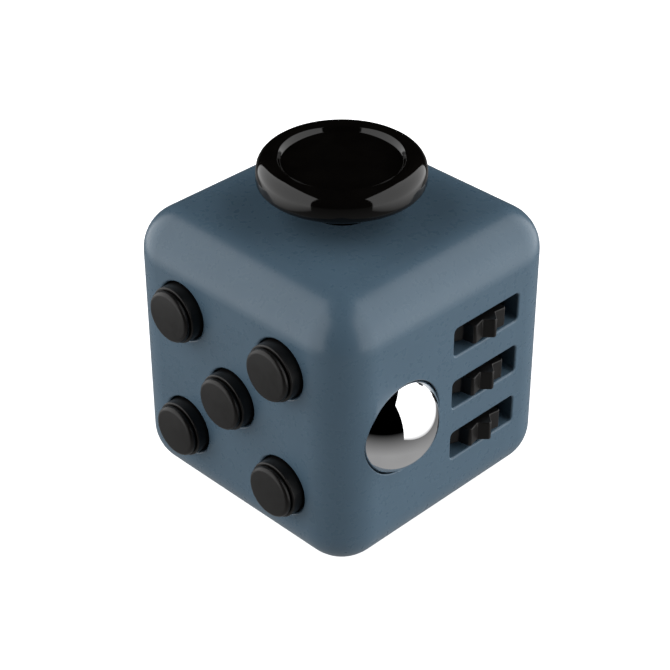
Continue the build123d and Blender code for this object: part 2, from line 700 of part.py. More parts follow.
def make_flip_frame():
    """The frame behind the rocker, with a cheek at each end of the pin."""
    floor = (FLIP_FLOOR_X, FLIP_FLOOR_X + FLIP_FLOOR_H)
    plate = block(floor, (-8.6, 8.6), (MID - 9.0, MID + 9.0))
    plate = fillet(plate.edges().filter_by(Axis.X), 1.2)
    spans = ((-6.4, -5.2), (5.2, 6.4))
    cheeks = [block((-INNER + GAP, floor[0] + 0.5), span, (MID - 2.6, MID + 2.6)) for span in spans]
    frame = joined([plate] + cheeks)
    frame = frame - rod("y", (PIVOT_X, MID), PIN_R, -7.0, 7.0)
    for spot in flip_post_spots():
        frame = frame - rod("x", spot, CLEAR_R, floor[0] - 1, floor[1] + 1)
    return frame


def make_flip_snap_spring():
    """A bowed leaf that the rocker's nose rides over, so that the rocker snaps across."""
    ends, crown, skin, half = FLIP_FLOOR_X, FLIP_FLOOR_X - 0.75, 0.2, 6.5
    outer = ThreePointArc((ends - skin, -half), (crown, 0), (ends - skin, half))
    inner = ThreePointArc((ends, half), (crown + skin, 0), (ends, -half))
    closing = Line((ends - skin, half), (ends, half))
    opening = Line((ends, -half), (ends - skin, -half))
    profile = make_face(Plane.XZ * (outer + closing + inner + opening))
    return Pos(0, 0, MID) * extrude(profile, amount=2.5, both=True)


def make_flip_frame_screws():
    """Four screws into the left wall's posts."""
    seat = FLIP_FLOOR_X + FLIP_FLOOR_H
    return group(screw("x", spot, seat, -INNER + 0.5) for spot in flip_post_spots())


# ================================================================ spin dial
BUSH_FLANGE_Y = (FACE - 2.6, INNER)
SPINDLE_END = BUSH_FLANGE_Y[0] - GAP
SPIN_WASHER_H = 0.6


def make_spin_dial():
    """A flat dial with a grooved rim, a finger dimple and its own spindle."""
    low = FACE - DIAL_RECESS + RUN
    top = FACE + DIAL_RISE
    disc = rod("y", (0, MID), DIAL_R, low, top)
    disc = fillet(disc.edges().sort_by(Axis.Y)[-1], DIAL_ROUND)
    for number in range(DIAL_GROOVES):
        turn = 2 * math.pi * number / DIAL_GROOVES
        spot = ((DIAL_R + 0.3) * math.cos(turn), MID + (DIAL_R + 0.3) * math.sin(turn))
        disc = disc - rod("y", spot, DIAL_GROOVE_R, low - 1, top + 1)
    disc = disc - ball_at((0, top + DIMPLE_R - DIMPLE_DEPTH, MID + DIMPLE_REACH), DIMPLE_R)
    spindle = rod("y", (0, MID), SPINDLE_R, SPINDLE_END, low + 0.1)
    return disc + spindle - rod("y", (0, MID), PILOT_R, SPINDLE_END - 1, FACE)


def make_spin_bush():
    """The flanged bush pressed into the back wall, in which the spindle turns."""
    sleeve = rod("y", (0, MID), BUSH_R, BUSH_FLANGE_Y[0], FACE - DIAL_RECESS)
    flange = rod("y", (0, MID), BUSH_FLANGE_R, *BUSH_FLANGE_Y)
    return sleeve + flange - rod("y", (0, MID), SPINDLE_R + RUN, 10, FACE + 1)


def make_spin_washer():
    """The washer that keeps the spindle in its bush."""
    return tube("y", (0, MID), SPIN_WASHER_R, CLEAR_R, SPINDLE_END - SPIN_WASHER_H, SPINDLE_END)


def make_spin_screw():
    """The screw that clamps the washer to the spindle."""
    return screw("y", (0, MID), SPINDLE_END - SPIN_WASHER_H, FACE - 0.9, head_r=1.6)


# ================================================================ all nodes
def make_all():
    """Every node by name."""
    nodes = {
        "shell": make_shell(),
        "base_cover": make_base_cover(),
        "glide_cap": make_glide_cap(),
        "glide_slider": make_glide_slider(),
        "glide_cross_slide": make_glide_cross_slide(),
        "glide_base": make_glide_base(),
        "glide_springs_x": make_glide_springs_x(),
        "glide_springs_y": make_glide_springs_y(),
        "glide_base_screws": make_glide_base_screws(),
        "button_backplate": make_button_backplate(),
        "backplate_screws": make_backplate_screws(),
        "ball": make_ball(),
        "ball_pad": make_ball_pad(),
        "ball_cup": make_ball_cup(),
        "ball_spring": make_ball_spring(),
        "ball_housing": make_ball_housing(),
        "ball_housing_screws": make_ball_housing_screws(),
        "gear_cradle": make_gear_cradle(),
        "gear_axle": make_gear_axle(),
        "gear_spacers": make_gear_spacers(),
        "gear_click_springs": make_gear_click_springs(),
        "gear_cradle_screws": make_gear_cradle_screws(),
        "flip_rocker": make_flip_rocker(),
        "flip_pin": make_flip_pin(),
        "flip_frame": make_flip_frame(),
        "flip_snap_spring": make_flip_snap_spring(),
        "flip_frame_screws": make_flip_frame_screws(),
        "spin_dial": make_spin_dial(),
        "spin_bush": make_spin_bush(),
        "spin_washer": make_spin_washer(),
        "spin_screw": make_spin_screw(),
    }
    for place, spot in BUTTON_SPOTS.items():
        nodes["button_" + place] = make_button(spot)
        if place in SILENT_BUTTONS:
            nodes["silent_dome_" + place] = make_silent_dome(spot)
        else:
            nodes["click_dome_" + place] = make_click_dome(spot)
    for place, height in zip(("top", "middle", "bottom"), gear_heights()):
        nodes["gear_" + place] = make_gear(height)
    return nodes


os.makedirs("parts", exist_ok=True)
for name, shape in make_all().items():
    export_step(shape, "parts/" + name + ".step")
    print(name, len(shape.solids()), "solid(s)", round(shape.volume, 2), "mm3")
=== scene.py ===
# %% [markdown]
# A fidget cube: a rounded plastic case with a toy on each face. The CAD model gives every part its
# place and its size. Here the parts get their real finishes, and the ones that are turned, ground or
# wound on a real machine are modelled again with more detail than the CAD holds.

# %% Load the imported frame
import json
import math

import bmesh
import bpy
from mathutils import Matrix, Vector


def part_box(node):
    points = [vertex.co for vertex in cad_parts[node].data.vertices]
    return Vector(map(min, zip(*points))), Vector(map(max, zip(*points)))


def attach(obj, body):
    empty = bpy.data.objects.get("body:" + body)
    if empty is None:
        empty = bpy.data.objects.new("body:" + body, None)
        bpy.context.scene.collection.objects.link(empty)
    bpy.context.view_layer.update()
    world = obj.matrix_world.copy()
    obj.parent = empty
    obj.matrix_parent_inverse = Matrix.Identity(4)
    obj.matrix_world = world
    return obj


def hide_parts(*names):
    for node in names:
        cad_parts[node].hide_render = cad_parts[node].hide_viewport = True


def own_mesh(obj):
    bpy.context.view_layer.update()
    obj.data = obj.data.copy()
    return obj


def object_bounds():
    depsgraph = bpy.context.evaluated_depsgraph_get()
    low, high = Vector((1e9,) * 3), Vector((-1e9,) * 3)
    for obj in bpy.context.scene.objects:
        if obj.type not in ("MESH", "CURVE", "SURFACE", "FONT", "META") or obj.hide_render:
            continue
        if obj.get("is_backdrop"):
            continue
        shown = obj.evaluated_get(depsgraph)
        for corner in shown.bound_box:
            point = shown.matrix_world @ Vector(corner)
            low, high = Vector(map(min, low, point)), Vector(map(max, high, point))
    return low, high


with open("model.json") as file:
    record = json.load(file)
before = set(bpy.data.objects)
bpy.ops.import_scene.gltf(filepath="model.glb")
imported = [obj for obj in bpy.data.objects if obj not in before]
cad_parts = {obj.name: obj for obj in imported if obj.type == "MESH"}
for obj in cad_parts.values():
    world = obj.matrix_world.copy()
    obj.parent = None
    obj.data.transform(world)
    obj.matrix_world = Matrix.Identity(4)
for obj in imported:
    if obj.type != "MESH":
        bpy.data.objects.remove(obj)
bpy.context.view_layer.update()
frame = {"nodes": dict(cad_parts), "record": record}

nodes = frame["nodes"]

# %% [markdown]
# Small machined parts are drawn in millimetres, and Blender counts in metres. One constant turns
# one into the other, and two helpers read a node's middle and size, so that the new pieces find
# their places from the CAD model.

# %% Units and places
MM = 0.001


def middle_of(node):
    """The middle of a CAD node's box, in metres."""
    low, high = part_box(node)
    return (low + high) / 2


def size_of(node):
    """The size of a CAD node's box, in metres."""
    low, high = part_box(node)
    return high - low


print("ball across, mm:", round(size_of("ball").x / MM, 2))

# %% [markdown]
# Every finish starts from one Principled shader. The patterns read Object coordinates, which are
# metres in the frame of the part, so a grain of 0.1 mm is drawn as 0.1 mm on every piece.
# Three helpers cover what all these finishes share: a fine relief, a roughness that is never
# quite even, and a colour that drifts a little.

# %% Finish helpers
NOISE_DETAIL = 2.0
NOISE_LOW, NOISE_HIGH = 0.3, 0.7
EVEN = (1, 1, 1)


def start_finish(name, **sockets):
    """A new material; sockets are set on the shader itself, with _ for a space in their names."""
    material = bpy.data.materials.new(name)
    material.use_nodes = True
    shader = material.node_tree.nodes["Principled BSDF"]
    for socket, value in sockets.items():
        shader.inputs[socket.replace("_", " ")].default_value = value
    return material


def add_node(material, kind, **settings):
    """A new node in a material, with its properties set."""
    node = material.node_tree.nodes.new(kind)
    for name, value in settings.items():
        setattr(node, name, value)
    return node


def shader_of(material):
    """The Principled shader of a material."""
    return material.node_tree.nodes["Principled BSDF"]


def noise_on(material, feature, stretch=EVEN):
    """A noise value over the piece, with features about that many metres across."""
    links = material.node_tree.links
    where = add_node(material, "ShaderNodeTexCoord")
    mapping = add_node(material, "ShaderNodeMapping")
    mapping.inputs["Scale"].default_value = [share / feature for share in stretch]
    noise = add_node(material, "ShaderNodeTexNoise")
    noise.inputs["Scale"].default_value = 1.0
    noise.inputs["Detail"].default_value = NOISE_DETAIL
    links.new(where.outputs["Object"], mapping.inputs["Vector"])
    links.new(mapping.outputs["Vector"], noise.inputs["Vector"])
    return noise.outputs["Fac"]


def spread(material, value, low, high):
    """Spreads a noise value, which is mostly near its middle, over the range from low to high."""
    ranged = add_node(material, "ShaderNodeMapRange")
    ranged.inputs["From Min"].default_value = NOISE_LOW
    ranged.inputs["From Max"].default_value = NOISE_HIGH
    ranged.inputs["To Min"].default_value = low
    ranged.inputs["To Max"].default_value = high
    material.node_tree.links.new(value, ranged.inputs["Value"])
    return ranged.outputs["Result"]


def uneven_roughness(material, feature, low, high, stretch=EVEN):
    """Lets the roughness wander between two values."""
    value = spread(material, noise_on(material, feature, stretch), low, high)
    material.node_tree.links.new(value, shader_of(material).inputs["Roughness"])


def uneven_colour(material, feature, first, second):
    """Lets the colour drift between two close shades."""
    mix = add_node(material, "ShaderNodeMix", data_type="RGBA")
    mix.inputs["A"].default_value = (*first, 1)
    mix.inputs["B"].default_value = (*second, 1)
    links = material.node_tree.links
    links.new(spread(material, noise_on(material, feature), 0, 1), mix.inputs["Factor"])
    links.new(mix.outputs["Result"], shader_of(material).inputs["Base Color"])


def relief(material, layers):
    """Bump from layers of (feature size, height, stretch), all in metres, one on top of the other."""
    links = material.node_tree.links
    below = None
    for feature, height, stretch in layers:
        bump = add_node(material, "ShaderNodeBump")
        bump.inputs["Strength"].default_value = 1.0
        bump.inputs["Distance"].default_value = height
        links.new(noise_on(material, feature, stretch), bump.inputs["Height"])
        if below:
            links.new(below, bump.inputs["Normal"])
        below = bump.outputs["Normal"]
    links.new(below, shader_of(material).inputs["Normal"])


def describe(material):
    """Prints a finished material's name and how many nodes it took."""
    print(material.name, "made of", len(material.node_tree.nodes), "nodes")


# %% [markdown]
# The case is moulded in blue-grey plastic with a soft satin face. The mould was spark-eroded, so
# the skin carries a grain of a third of a millimetre, only one or two micrometres deep. It is
# too fine to see as dots at arm's length: it shows as a broad, soft highlight on the fillets. A
# fine relief gives that grain its true size, which a higher roughness would only imitate. A
# second, broader relief is the faint waviness of a moulded wall.

# %% Case plastic
CASE_SHADE = (0.0715, 0.1185, 0.1635)
CASE_SHADE_LIGHT = (0.0745, 0.1235, 0.1705)
case_plastic = start_finish("case_plastic", Roughness=0.29, IOR=1.41)
uneven_colour(case_plastic, 4.0 * MM, CASE_SHADE, CASE_SHADE_LIGHT)
uneven_roughness(case_plastic, 0.9 * MM, 0.26, 0.32)
relief(case_plastic, [(0.3 * MM, 0.0015 * MM, EVEN), (2.5 * MM, 0.004 * MM, EVEN)])
describe(case_plastic)

# %% [markdown]
# The glide disc is the one high-gloss moulding. A polished mould leaves it almost like black
# glass. Handling leaves hairlines in it, so its roughness is streaky and not zero.

# %% Gloss black
GLOSS_SHADE = (0.0020, 0.0017, 0.0015)
GLOSS_SHADE_LIGHT = (0.0030, 0.0026, 0.0023)
gloss_black = start_finish("gloss_black", Roughness=0.07, IOR=1.4)
uneven_colour(gloss_black, 3.0 * MM, GLOSS_SHADE, GLOSS_SHADE_LIGHT)
uneven_roughness(gloss_black, 1.4 * MM, 0.05, 0.09, (1, 0.25, 1))
relief(gloss_black, [(1.6 * MM, 0.0012 * MM, EVEN)])
describe(gloss_black)

# %% [markdown]
# Buttons, gears, rocker and dial are moulded in black nylon. Its faces are satin: a fine grain,
# and a roughness that changes where thumbs have rubbed it.

# %% Satin black
SATIN_SHADE = (0.0042, 0.0036, 0.0032)
SATIN_SHADE_LIGHT = (0.0052, 0.0045, 0.0040)
satin_black = start_finish("satin_black", Roughness=0.36, IOR=1.42, Specular_IOR_Level=0.4)
uneven_colour(satin_black, 2.0 * MM, SATIN_SHADE, SATIN_SHADE_LIGHT)
uneven_roughness(satin_black, 0.7 * MM, 0.32, 0.42)
relief(satin_black, [(0.22 * MM, 0.0015 * MM, EVEN), (1.4 * MM, 0.003 * MM, EVEN)])
describe(satin_black)

# %% [markdown]
# A steel bearing ball is lapped until it is a mirror. What is left to see is a faint haze of fine
# hairlines in every direction, so the roughness is very low and drifts a little.

# %% Polished steel
STEEL_SHADE = (0.83, 0.83, 0.84)
STEEL_SHADE_LIGHT = (0.88, 0.88, 0.885)
polished_steel = start_finish("polished_steel", Metallic=1.0, Roughness=0.03)
uneven_colour(polished_steel, 3.0 * MM, STEEL_SHADE, STEEL_SHADE_LIGHT)
uneven_roughness(polished_steel, 1.2 * MM, 0.022, 0.04)
relief(polished_steel, [(2.2 * MM, 0.0006 * MM, EVEN)])
describe(polished_steel)

# %% [markdown]
# The axle and the rocker pin are ground bar. Grinding leaves rings round the bar, so the pattern
# is squeezed along the bar's own axis: Z for the upright axle, Y for the rocker pin and for the
# dial's washer.

# %% Ground steel
RING_SQUEEZE = 12
PIN_SHADE, PIN_SHADE_LIGHT = (0.52, 0.52, 0.53), (0.60, 0.60, 0.61)


def ground_steel(name, along):
    """Bar with grinding rings, which are close together along the bar's axis."""
    stretch = tuple(RING_SQUEEZE if letter == along else 1 for letter in "XYZ")
    material = start_finish(name, Metallic=1.0, Roughness=0.25)
    uneven_colour(material, 1.0 * MM, PIN_SHADE, PIN_SHADE_LIGHT)
    uneven_roughness(material, 0.8 * MM, 0.2, 0.34, stretch)
    relief(material, [(0.8 * MM, 0.003 * MM, stretch)])
    return material


upright_pin_steel = ground_steel("steel_pin_upright", "Z")
level_pin_steel = ground_steel("steel_pin_level", "Y")
describe(upright_pin_steel)
describe(level_pin_steel)

# %% [markdown]
# Screws are steel with a thin bright zinc coat: a cool, slightly cloudy metal.

# %% Zinc-coated screws
SCREW_SHADE, SCREW_SHADE_LIGHT = (0.44, 0.45, 0.48), (0.56, 0.57, 0.59)
screw_steel = start_finish("screw_steel", Metallic=1.0, Roughness=0.32)
uneven_colour(screw_steel, 0.5 * MM, SCREW_SHADE, SCREW_SHADE_LIGHT)
uneven_roughness(screw_steel, 0.3 * MM, 0.24, 0.42)
relief(screw_steel, [(0.12 * MM, 0.002 * MM, EVEN)])
describe(screw_steel)

# %% [markdown]
# Coil springs are hard-drawn wire, and leaf springs and click domes are rolled strip. Both come
# out bright, with a faint warm cast from the heat that set them.

# %% Spring steel
SPRING_SHADE, SPRING_SHADE_LIGHT = (0.50, 0.48, 0.45), (0.60, 0.59, 0.57)
spring_steel = start_finish("spring_steel", Metallic=1.0, Roughness=0.22)
uneven_colour(spring_steel, 0.8 * MM, SPRING_SHADE, SPRING_SHADE_LIGHT)
uneven_roughness(spring_steel, 0.3 * MM, 0.16, 0.3)
relief(spring_steel, [(0.1 * MM, 0.001 * MM, EVEN)])
describe(spring_steel)

# %% [markdown]
# The two silent buttons rest on silicone rubber. It is milky, lets a little light in, and has no
# sharp highlight.

# %% Silicone
SILICONE_SHADE, SILICONE_SHADE_LIGHT = (0.52, 0.53, 0.50), (0.60, 0.61, 0.58)
silicone = start_finish("silicone", Roughness=0.55, IOR=1.41)
shader_of(silicone).inputs["Subsurface Weight"].default_value = 0.4
shader_of(silicone).inputs["Subsurface Scale"].default_value = 0.6 * MM
uneven_colour(silicone, 1.2 * MM, SILICONE_SHADE, SILICONE_SHADE_LIGHT)
uneven_roughness(silicone, 0.5 * MM, 0.5, 0.62)
relief(silicone, [(0.2 * MM, 0.003 * MM, EVEN)])
describe(silicone)

# %% [markdown]
# The frames inside the case are plain black mouldings, and the pieces that slide or turn are
# natural nylon, an ivory plastic with a waxy shine that runs without oil.

# %% Inner plastics
FRAME_SHADE, FRAME_SHADE_LIGHT = (0.0060, 0.0060, 0.0065), (0.0095, 0.0095, 0.0100)
NYLON_SHADE, NYLON_SHADE_LIGHT = (0.60, 0.58, 0.50), (0.68, 0.66, 0.58)
inner_plastic = start_finish("inner_plastic", Roughness=0.5, IOR=1.5)
uneven_colour(inner_plastic, 3.0 * MM, FRAME_SHADE, FRAME_SHADE_LIGHT)
uneven_roughness(inner_plastic, 1.0 * MM, 0.44, 0.58)
relief(inner_plastic, [(0.25 * MM, 0.006 * MM, EVEN)])

slippery_plastic = start_finish("slippery_plastic", Roughness=0.36, IOR=1.53)
shader_of(slippery_plastic).inputs["Subsurface Weight"].default_value = 0.2
shader_of(slippery_plastic).inputs["Subsurface Scale"].default_value = 0.4 * MM
uneven_colour(slippery_plastic, 2.0 * MM, NYLON_SHADE, NYLON_SHADE_LIGHT)
uneven_roughness(slippery_plastic, 0.6 * MM, 0.3, 0.44)
relief(slippery_plastic, [(0.3 * MM, 0.004 * MM, EVEN)])
describe(inner_plastic)
describe(slippery_plastic)

# %% [markdown]
# A CAD node whose shape is already right only needs its finish. The record lists which slot each
# node belongs to, so the finishes are handed out slot by slot.

# %% Hand out the finishes
finishes = {
    "case_plastic": case_plastic,
    "gloss_black": gloss_black,
    "satin_black": satin_black,
    "polished_steel": polished_steel,
    "steel_pin": upright_pin_steel,
    "screw_steel": screw_steel,
    "spring_steel": spring_steel,
    "silicone": silicone,
    "inner_plastic": inner_plastic,
    "slippery_plastic": slippery_plastic,
}
slot_of = {part["node"]: part["material_slot"] for part in frame["record"]["subparts"]}
for name, node in nodes.items():
    for material_slot in node.material_slots:
        material_slot.material = finishes[slot_of[name]]
for name in ("flip_pin", "spin_washer"):
    nodes[name].material_slots[0].material = level_pin_steel
print({slot: sum(1 for used in slot_of.values() if used == slot) for slot in finishes})

# %% [markdown]
# All new pieces end the same way: doubles merged, faces turned outwards, smooth shading that breaks
# at sharp edges, a finish, and a body to ride on. Weighted normals keep the flat faces flat
# beside their small rounded edges, as on a real moulding.

# %% Piece helper
SHARP_ANGLE = math.radians(35)
MERGE_DISTANCE = 1e-7


def to_metres(bm, place=Matrix()):
    """Brings a shape drawn in millimetres to metres, and to its place."""
    bmesh.ops.transform(bm, matrix=place @ Matrix.Scale(MM, 4), verts=bm.verts)


def make_piece(bm, name, body, slot, stands_for):
    """Turns a finished bmesh, in metres and in its place, into a piece of the object."""
    bmesh.ops.remove_doubles(bm, verts=bm.verts, dist=MERGE_DISTANCE)
    bmesh.ops.recalc_face_normals(bm, faces=bm.faces)
    mesh = bpy.data.meshes.new(name)
    bm.to_mesh(mesh)
    bm.free()
    mesh.shade_smooth()
    mesh.set_sharp_from_angle(angle=SHARP_ANGLE)
    mesh.materials.append(finishes[slot])
    piece = bpy.data.objects.new(name, mesh)
    bpy.context.scene.collection.objects.link(piece)
    weighted = piece.modifiers.new("even_normals", "WEIGHTED_NORMAL")
    weighted.keep_sharp = True
    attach(piece, body)
    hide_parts(stands_for)
    print(name, len(mesh.polygons), "faces, stands for", stands_for)
    return piece


# %% [markdown]
# Turned parts come from a lathe: half of the outline is drawn once and spun about the axis. Each
# corner of the outline may carry a rounding, which is a bevel of that one point, made before the
# spin. The outline is drawn in millimetres as (radius, height, rounding), and the turned shape
# stays in millimetres until it is put in its place: tiny numbers would spoil the roundings.

# %% Lathe helper
ROUND_SEGMENTS = 6
LATHE_STEPS = 96
FINE_STEPS = 48


def turn_on_lathe(bm, outline, closed=False, steps=LATHE_STEPS):
    """Spins an outline about Z and adds the turned shape to the bmesh."""
    points = [bm.verts.new((radius, 0, height)) for radius, height, _ in outline]
    edges = [bm.edges.new(pair) for pair in zip(points, points[1:])]
    if closed:
        edges.append(bm.edges.new((points[-1], points[0])))
    everything = set(points)
    for point, (_, _, rounding) in zip(points, outline):
        if rounding:
            rounded = bmesh.ops.bevel(
                bm, geom=[point], offset=rounding, segments=ROUND_SEGMENTS,
                profile=0.5, affect="VERTICES", material=-1)
            everything.discard(point)
            everything.update(rounded["verts"])
    everything = [point for point in everything if point.is_valid]
    lines = {edge for point in everything for edge in point.link_edges}
    bmesh.ops.spin(
        bm, geom=everything + list(lines), cent=(0, 0, 0), axis=(0, 0, 1),
        angle=2 * math.pi, steps=steps, use_merge=True)


# %% [markdown]
# The glide disc is a thumb rest on a short stem: a fat rounded rim that slopes in to a shallow
# dish with a flat floor. It is a body of revolution, so the lathe draws it. The roundings on the
# shoulder and under the rim decide where the lights draw their bands. The rim's side leans in a
# little towards the top, as a moulding must to leave its mould. The corner under the rim is drawn
# a hair outside the CAD disc, because its rounding brings it back to the CAD disc's width.

# %% Glide disc
GLIDE_CORNER_OUT = 0.07
GLIDE_THICKNESS = 3.23
GLIDE_R = size_of("glide_cap").x / 2 / MM + GLIDE_CORNER_OUT
GLIDE_LOW, GLIDE_TOP = (corner.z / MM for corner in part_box("glide_cap"))
GLIDE_UNDER = GLIDE_TOP - GLIDE_THICKNESS
GLIDE_SHOULDER = 1.4
GLIDE_UNDER_ROUND = 0.85
GLIDE_DRAFT = 0.27
CREST_R, CREST_ROUND = 7.3, 0.1
LIP_R, LIP_DROP, LIP_ROUND = 6.75, 0.2, 0.1
DISH_R, DISH_DROP, DISH_ROUND = 6.4, 0.75, 0.13
COLLAR_R, COLLAR_ROUND, COLLAR_ROOT_ROUND = 3.0, 0.2, 0.15
GLIDE_STEPS = 160

disc = bmesh.new()
turn_on_lathe(disc, [
    (0, GLIDE_LOW, 0),
    (COLLAR_R, GLIDE_LOW, COLLAR_ROUND),
    (COLLAR_R, GLIDE_UNDER, COLLAR_ROOT_ROUND),
    (GLIDE_R, GLIDE_UNDER, GLIDE_UNDER_ROUND),
    (GLIDE_R - GLIDE_DRAFT, GLIDE_TOP, GLIDE_SHOULDER),
    (CREST_R, GLIDE_TOP, CREST_ROUND),
    (LIP_R, GLIDE_TOP - LIP_DROP, LIP_ROUND),
    (DISH_R, GLIDE_TOP - DISH_DROP, DISH_ROUND),
    (0, GLIDE_TOP - DISH_DROP, 0),
], steps=GLIDE_STEPS)
to_metres(disc)
make_piece(disc, "glide_disc", "glide", "gloss_black", "glide_cap")

# %% [markdown]
# Five buttons stand in a domino five. Each is one moulding with a step: a skirt that fills the
# hole, a groove, and a smaller cap. A lip behind the wall keeps it in, and a nub at its back works
# the dome. They are turned here about Z, with height 0 on the case's face, and then laid over, so
# that the cap faces the front.

# %% Buttons
PLACES = ("top_left", "top_right", "centre", "bottom_left", "bottom_right")
NUB_R, NUB_TIP, NUB_ROUND = 1.0, -3.25, 0.1
BUTTON_LIP_R, BUTTON_LIP_BACK, BUTTON_LIP_FRONT, BUTTON_LIP_ROUND = 3.9, -3.1, -2.1, 0.12
SKIRT_R, SKIRT_TOP, SKIRT_ROUND = 3.2, 1.25, 0.15
GROOVE_R, GROOVE_TOP = 2.68, 1.45
CAP_R, CAP_TOP, CAP_ROUND, CAP_BACK_ROUND = 2.95, 2.0, 0.42, 0.06
BUTTON_OUTLINE = [
    (0, NUB_TIP, 0),
    (NUB_R, NUB_TIP, NUB_ROUND),
    (NUB_R, BUTTON_LIP_BACK, 0),
    (BUTTON_LIP_R, BUTTON_LIP_BACK, BUTTON_LIP_ROUND),
    (BUTTON_LIP_R, BUTTON_LIP_FRONT, BUTTON_LIP_ROUND),
    (SKIRT_R, BUTTON_LIP_FRONT, 0),
    (SKIRT_R, SKIRT_TOP, SKIRT_ROUND),
    (GROOVE_R, SKIRT_TOP, 0),
    (GROOVE_R, GROOVE_TOP, 0),
    (CAP_R, GROOVE_TOP, CAP_BACK_ROUND),
    (CAP_R, CAP_TOP, CAP_ROUND),
    (0, CAP_TOP, 0),
]
CASE_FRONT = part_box("shell")[0].y


def facing_front(place):
    """Lays a piece drawn about Z over, onto a button's place in the front face."""
    spot = middle_of("button_" + place)
    return Matrix.Translation((spot.x, CASE_FRONT, spot.z)) @ Matrix.Rotation(math.radians(90), 4, "X")


for place in PLACES:
    button = bmesh.new()
    turn_on_lathe(button, BUTTON_OUTLINE)
    to_metres(button, facing_front(place))
    make_piece(button, place + "_button", "button_" + place, "satin_black", "button_" + place)

# %% [markdown]
# The ball is a plain bearing ball. A mirror shows every fault in its mesh, so it gets far more
# faces than its size would ask for.

# %% Steel ball
BALL_SEGMENTS, BALL_RINGS = 160, 96
ball = bmesh.new()
bmesh.ops.create_uvsphere(
    ball, u_segments=BALL_SEGMENTS, v_segments=BALL_RINGS, radius=size_of("ball").x / 2)
bmesh.ops.translate(ball, vec=middle_of("ball"), verts=ball.verts)
make_piece(ball, "steel_ball", "ball", "polished_steel", "ball")

# %% [markdown]
# The three thumb gears have ten pointed teeth. A circle of twenty points becomes the outline when
# every second point is pulled in to the root. The tips are cut flat, the outline is bridged to
# the bore, the ring is extruded to its thickness, and the rims get a small moulded rounding. A
# turned hub, a little thicker than the teeth, goes round the bore.

# %% Thumb gears
GEAR_TEETH = 10
GEAR_TIP_R, GEAR_ROOT_R = 4.35, 3.35
GEAR_BORE_R, GEAR_HUB_R = 0.8, 1.9
GEAR_H, GEAR_HUB_H = 2.3, 3.0
GEAR_TIP_CUT = 0.24
GEAR_ROUND, GEAR_ROUND_SEGMENTS = 0.11, 3
GEAR_HUB_ROUND = 0.1
GEAR_MERGE = 1e-4
GEAR_RIM_SHARE = 0.98
GEAR_PHASE = math.radians(2.6)


def gear_blank():
    """One gear about Z in millimetres, with its middle at the origin."""
    bm = bmesh.new()
    ring = bmesh.ops.create_circle(bm, segments=2 * GEAR_TEETH, radius=GEAR_TIP_R)["verts"]
    first_tip = math.atan2(ring[0].co.y, ring[0].co.x)
    for root in ring[1::2]:
        root.co *= GEAR_ROOT_R / GEAR_TIP_R
    bmesh.ops.bevel(bm, geom=ring[0::2], offset=GEAR_TIP_CUT, segments=1, profile=0.5,
                    affect="VERTICES", material=-1)
    outline = list(bm.edges)
    bore = bmesh.ops.create_circle(bm, segments=len(outline), radius=GEAR_BORE_R)["verts"]
    bore_edges = list({edge for vert in bore for edge in vert.link_edges})
    faces = bmesh.ops.bridge_loops(bm, edges=outline + bore_edges)["faces"]
    raised = bmesh.ops.extrude_face_region(bm, geom=faces, use_keep_orig=True)["geom"]
    upper = [item for item in raised if isinstance(item, bmesh.types.BMVert)]
    bmesh.ops.translate(bm, vec=(0, 0, GEAR_H), verts=upper)
    bmesh.ops.translate(bm, vec=(0, 0, -GEAR_H / 2), verts=bm.verts)
    bmesh.ops.remove_doubles(bm, verts=bm.verts, dist=GEAR_MERGE)
    outside = GEAR_ROOT_R * GEAR_RIM_SHARE
    rims = [edge for edge in bm.edges if all(vert.co.xy.length > outside for vert in edge.verts)]
    bmesh.ops.bevel(bm, geom=rims, offset=GEAR_ROUND, segments=GEAR_ROUND_SEGMENTS, profile=0.5,
                    affect="EDGES", material=-1)
    bmesh.ops.rotate(bm, cent=(0, 0, 0), verts=bm.verts,
                     matrix=Matrix.Rotation(GEAR_PHASE - first_tip, 3, "Z"))
    half = GEAR_HUB_H / 2
    turn_on_lathe(bm, [
        (GEAR_BORE_R, -half, 0),
        (GEAR_HUB_R, -half, GEAR_HUB_ROUND),
        (GEAR_HUB_R, half, GEAR_HUB_ROUND),
        (GEAR_BORE_R, half, 0),
    ], closed=True, steps=FINE_STEPS)
    return bm


for place in ("top", "middle", "bottom"):
    gear = gear_blank()
    to_metres(gear, Matrix.Translation(middle_of("gear_" + place)))
    make_piece(gear, place + "_gear", "gear_" + place, "satin_black", "gear_" + place)

# %% [markdown]
# The centring springs of the glide and the spring behind the ball are wound wire. The wire's round
# section is spun about the spring's axis and moved along a little at each step, so it climbs as a
# helix.

# %% Coil springs
WIRE_SIDES = 8
STEPS_PER_TURN = 20
TURN_TO = {
    "X": Matrix.Rotation(math.radians(90), 4, "Y"),
    "Y": Matrix.Rotation(math.radians(-90), 4, "X"),
}


def coil_spring(outer_r, wire_r, length, turns):
    """A wound spring about Z, from the origin up, closed at both ends of its wire."""
    bm = bmesh.new()
    climb = length - 2 * wire_r
    place = Matrix.Translation((outer_r - wire_r, 0, wire_r)) @ Matrix.Rotation(math.radians(90), 4, "X")
    wire = bmesh.ops.create_circle(bm, segments=WIRE_SIDES, radius=wire_r, matrix=place)["verts"]
    edges = list({edge for vert in wire for edge in vert.link_edges})
    steps = turns * STEPS_PER_TURN
    bmesh.ops.spin(bm, geom=wire + edges, cent=(0, 0, 0), axis=(0, 0, 1),
                   dvec=(0, 0, climb / steps), angle=2 * math.pi * turns, steps=steps)
    ends = [edge for edge in bm.edges if edge.is_boundary]
    bmesh.ops.holes_fill(bm, edges=ends, sides=WIRE_SIDES)
    return bm


